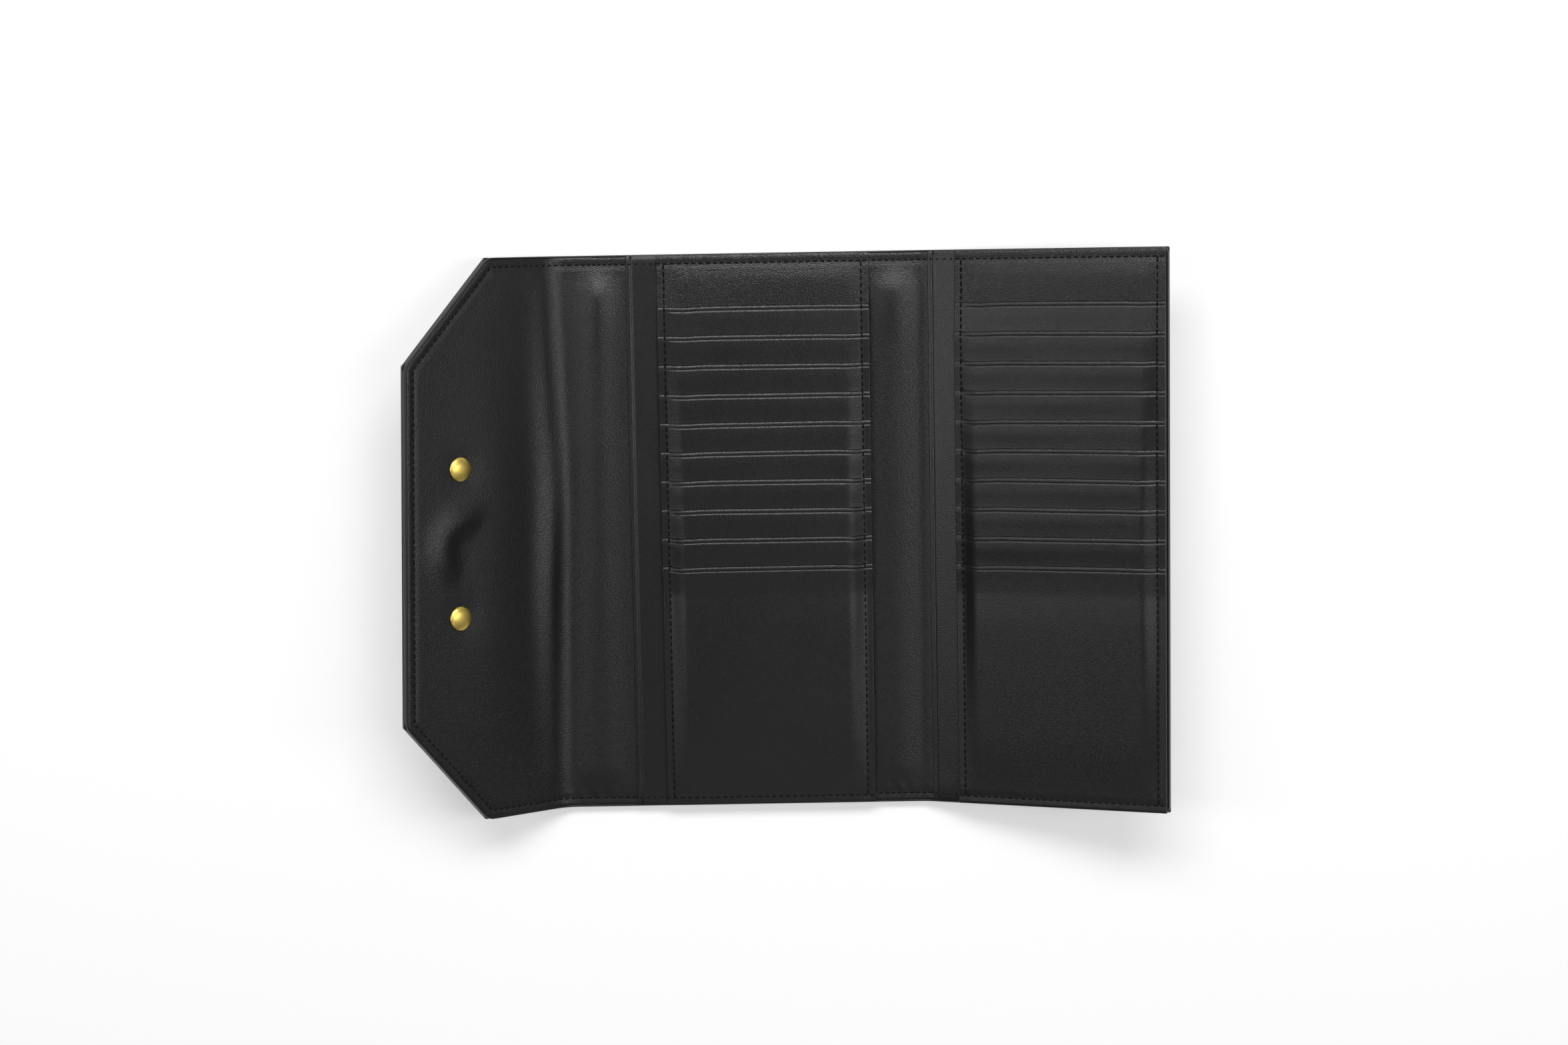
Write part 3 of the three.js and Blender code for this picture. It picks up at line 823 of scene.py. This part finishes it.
def sew(name, seams, height_at, carry):
    """Lays stitches along seams, given as flat corner lines, and joins them as one thread."""
    vertices, faces = [], []
    for corners in seams:
        line, ahead = walk(corners, STITCH_PITCH)
        spots = (line[:-1] + line[1:]) / 2
        heads = ahead[:-1] + ahead[1:]
        heads /= np.linalg.norm(heads, axis=1)[:, None]
        level = height_at(spots[:, 0], spots[:, 1])
        for (s, y), (cos, sin), height in zip(spots, heads, level):
            base = len(vertices)
            along, aside, up = THREAD_POINTS.T
            flat_s = s + along * cos - aside * sin
            flat_y = y + along * sin + aside * cos
            vertices.extend(zip(flat_s, flat_y, up + height + THREAD_LIFT))
            faces.extend(tuple(base + corner for corner in face) for face in THREAD_FACES)
    mesh = bpy.data.meshes.new(name)
    mesh.from_pydata(vertices, [], faces)
    thread_piece = bpy.data.objects.new(name, mesh)
    bpy.context.collection.objects.link(thread_piece)
    s, y, height = points_of(thread_piece).T
    set_points(thread_piece, lay(s, y, height))
    finish_piece(thread_piece, thread)
    carry(thread_piece)


def lining_seams(stretch):
    """The perimeter seam where it runs on the lining."""
    y = HALF_LENGTH - SEAM_INSET
    if stretch == "flap":
        along = CUT_ALONG_FLAP - SEAM_INSET * (1 - (CUT_SLANT - CUT_ALONG_FLAP) / CUT_ACROSS_FLAP)
        across = CUT_ACROSS_FLAP - SEAM_INSET * (1 - (CUT_SLANT - CUT_ACROSS_FLAP) / CUT_ALONG_FLAP)
        tip = FLAP_TIP + SEAM_INSET
        corners = [(tip + along, y), (tip, y - across), (tip, across - y), (tip + along, -y)]
        return [
            [(MID_FLAP_SPINE, y), corners[0]],
            corners[:2],
            corners[1:3],
            corners[2:],
            [corners[3], (MID_FLAP_SPINE, -y)],
        ]
    if stretch == "flap_spine":
        end = -HALF_BACK + SLEEVE_FROM_CREASE
        return [[(MID_FLAP_SPINE, side * y), (end, side * y)] for side in (-1, 1)]
    if stretch == "front_spine":
        return [[(HALF_BACK, side * y), (MID_FRONT_SPINE, side * y)] for side in (-1, 1)]
    end = FRONT_CREASE + SLEEVE_FROM_CREASE
    return [[(MID_FRONT_SPINE, side * y), (end, side * y)] for side in (-1, 1)]


for stretch_name in STRETCHES:
    sew(
        f"seam_thread_{stretch_name}",
        lining_seams(stretch_name),
        lining_height,
        lambda piece, stretch=stretch_name: bend_with(piece),
    )


def bank_height(panel):
    """The height of a panel's top face under its seams: sleeve, backing or pockets."""
    _, crease, high = PANELS[panel]
    low = high - BANK_WIDTH

    def height_at(s, y):
        from_side = HALF_LENGTH - np.abs(y)
        on_bank = (s > low) & (s < high)
        top = np.where(on_bank, BACKING_HIGH, SLEEVE_HIGH)
        edge_one = HALF_LENGTH - HEADER
        steps = np.floor((edge_one - y) / POCKET_PITCH)
        below = (edge_one - y) - steps * POCKET_PITCH
        below = np.where(steps >= POCKETS - 1, edge_one - (POCKETS - 1) * POCKET_PITCH - y, below)
        fall = np.clip((FALL_END - below) / (FALL_END - HEM_DEPTH), 0, 1)
        lifted = POCKET_LEATHER + (POCKET_LEATHER + PLY_GAP) * fall * (steps > 0)
        on_pockets = on_bank & (y < edge_one)
        top = np.where(on_pockets, POCKET_FLOOR + lifted, top)
        return top + seam_dip(from_side)

    return height_at


for panel_name, (panel_body, panel_crease, panel_high) in PANELS.items():
    panel_low = panel_high - BANK_WIDTH
    seam_y = HALF_LENGTH - SEAM_INSET
    sleeve_edge = panel_crease + SLEEVE_FROM_CREASE
    side_seams = [panel_low + SIDE_SEAM_INSET, panel_high - SIDE_SEAM_INSET - 0.3]
    seams = [[(sleeve_edge, side * seam_y), (panel_high, side * seam_y)] for side in (-1, 1)]
    seams += [[(seam_s, seam_y), (seam_s, -seam_y)] for seam_s in side_seams]
    sew(
        f"seam_thread_{panel_name}_bank",
        seams,
        bank_height(panel_name),
        lambda piece, body=panel_body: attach(piece, body),
    )


# Camera, in metres and degrees: as the photograph looks down from beyond the top end
CAMERA_PLACE = (0.0135, 0.1003, 0.9277)
CAMERA_TILT = -6.014
CAMERA_TURN = -0.982
LENS = 62.31
SENSOR = 36

camera_data = bpy.data.cameras.new("Camera")
camera_data.lens = LENS
camera_data.sensor_width = SENSOR
camera = bpy.data.objects.new("Camera", camera_data)
bpy.context.collection.objects.link(camera)
camera.location = CAMERA_PLACE
camera.rotation_euler = (math.radians(CAMERA_TILT), 0, math.radians(CAMERA_TURN))
bpy.context.scene.camera = camera


# Light: large soft boxes round the camera, strongest beyond the top end, and a dim room
LAMP_DISTANCE = 1.3
ZENITH = 0.13
HORIZON = 0.17
TABLE_SIZE = 16
TABLE_DROP = 0.0003
TABLE_GREY = 0.8
TABLE_GLOW = 0.32


def soft_box(name, azimuth, elevation, size, share):
    """A rectangle of light on the table's middle that gives a share of the plain level there."""
    data = bpy.data.lights.new(name, "AREA")
    data.shape = "RECTANGLE"
    data.size, data.size_y = size
    turn, rise = math.radians(azimuth), math.radians(elevation)
    data.energy = share * math.pi**2 * LAMP_DISTANCE**2 / math.sin(rise)
    lamp = bpy.data.objects.new(name, data)
    bpy.context.collection.objects.link(lamp)
    lamp.location = (
        LAMP_DISTANCE * math.cos(rise) * math.sin(turn),
        LAMP_DISTANCE * math.cos(rise) * math.cos(turn),
        LAMP_DISTANCE * math.sin(rise),
    )
    lamp.rotation_euler = (math.radians(90) - rise, 0, math.pi - turn)


soft_box("Key", azimuth=0, elevation=52, size=(1.2, 0.4), share=0.52)
soft_box("Left fill", azimuth=-85, elevation=50, size=(0.3, 1.0), share=0.13)
soft_box("Right fill", azimuth=85, elevation=56, size=(0.28, 1.0), share=0.20)
soft_box("Low fill", azimuth=180, elevation=60, size=(1.0, 0.3), share=0.035)

world = bpy.data.worlds.new("Room")
bpy.context.scene.world = world
world.use_nodes = True
nodes, links = world.node_tree.nodes, world.node_tree.links
sky_place = nodes.new("ShaderNodeTexCoord")
sky_axes = nodes.new("ShaderNodeSeparateXYZ")
links.new(sky_place.outputs["Generated"], sky_axes.inputs["Vector"])
sky = nodes.new("ShaderNodeMapRange")
sky.inputs["From Max"].default_value = 0.7
sky.inputs["To Min"].default_value = HORIZON
sky.inputs["To Max"].default_value = ZENITH
links.new(sky_axes.outputs["Z"], sky.inputs["Value"])
path = nodes.new("ShaderNodeLightPath")
level = nodes.new("ShaderNodeMapRange")
level.inputs["To Max"].default_value = 1.0
links.new(sky.outputs["Result"], level.inputs["To Min"])
links.new(path.outputs["Is Camera Ray"], level.inputs["Value"])
links.new(level.outputs["Result"], nodes["Background"].inputs["Strength"])
nodes["Background"].inputs["Color"].default_value = (1, 1, 1, 1)


def make_floor():
    """The white table top, which clips to white where no shadow falls."""
    deselect()
    bpy.ops.mesh.primitive_plane_add(size=TABLE_SIZE, location=(0, 0, -TABLE_DROP))
    floor = bpy.context.object
    floor.name = "table_top"
    material = bpy.data.materials.new("White table")
    material.use_nodes = True
    nodes, links = material.node_tree.nodes, material.node_tree.links
    shader = nodes["Principled BSDF"]
    shader.inputs["Base Color"].default_value = (TABLE_GREY, TABLE_GREY, TABLE_GREY, 1)
    shader.inputs["Roughness"].default_value = 1.0
    shader.inputs["Specular IOR Level"].default_value = 0.0
    shader.inputs["Emission Color"].default_value = (1, 1, 1, 1)
    path = nodes.new("ShaderNodeLightPath")
    seen = nodes.new("ShaderNodeMath")
    seen.operation = "MAXIMUM"
    links.new(path.outputs["Is Camera Ray"], seen.inputs[0])
    links.new(path.outputs["Is Glossy Ray"], seen.inputs[1])
    also = nodes.new("ShaderNodeMath")
    also.operation = "MAXIMUM"
    links.new(seen.outputs["Value"], also.inputs[0])
    links.new(path.outputs["Is Transmission Ray"], also.inputs[1])
    glow = nodes.new("ShaderNodeMath")
    glow.operation = "MULTIPLY"
    glow.inputs[1].default_value = TABLE_GLOW
    links.new(also.outputs["Value"], glow.inputs[0])
    links.new(glow.outputs["Value"], shader.inputs["Emission Strength"])
    floor.data.materials.append(material)


make_floor()
bpy.context.scene.view_settings.view_transform = "Standard"
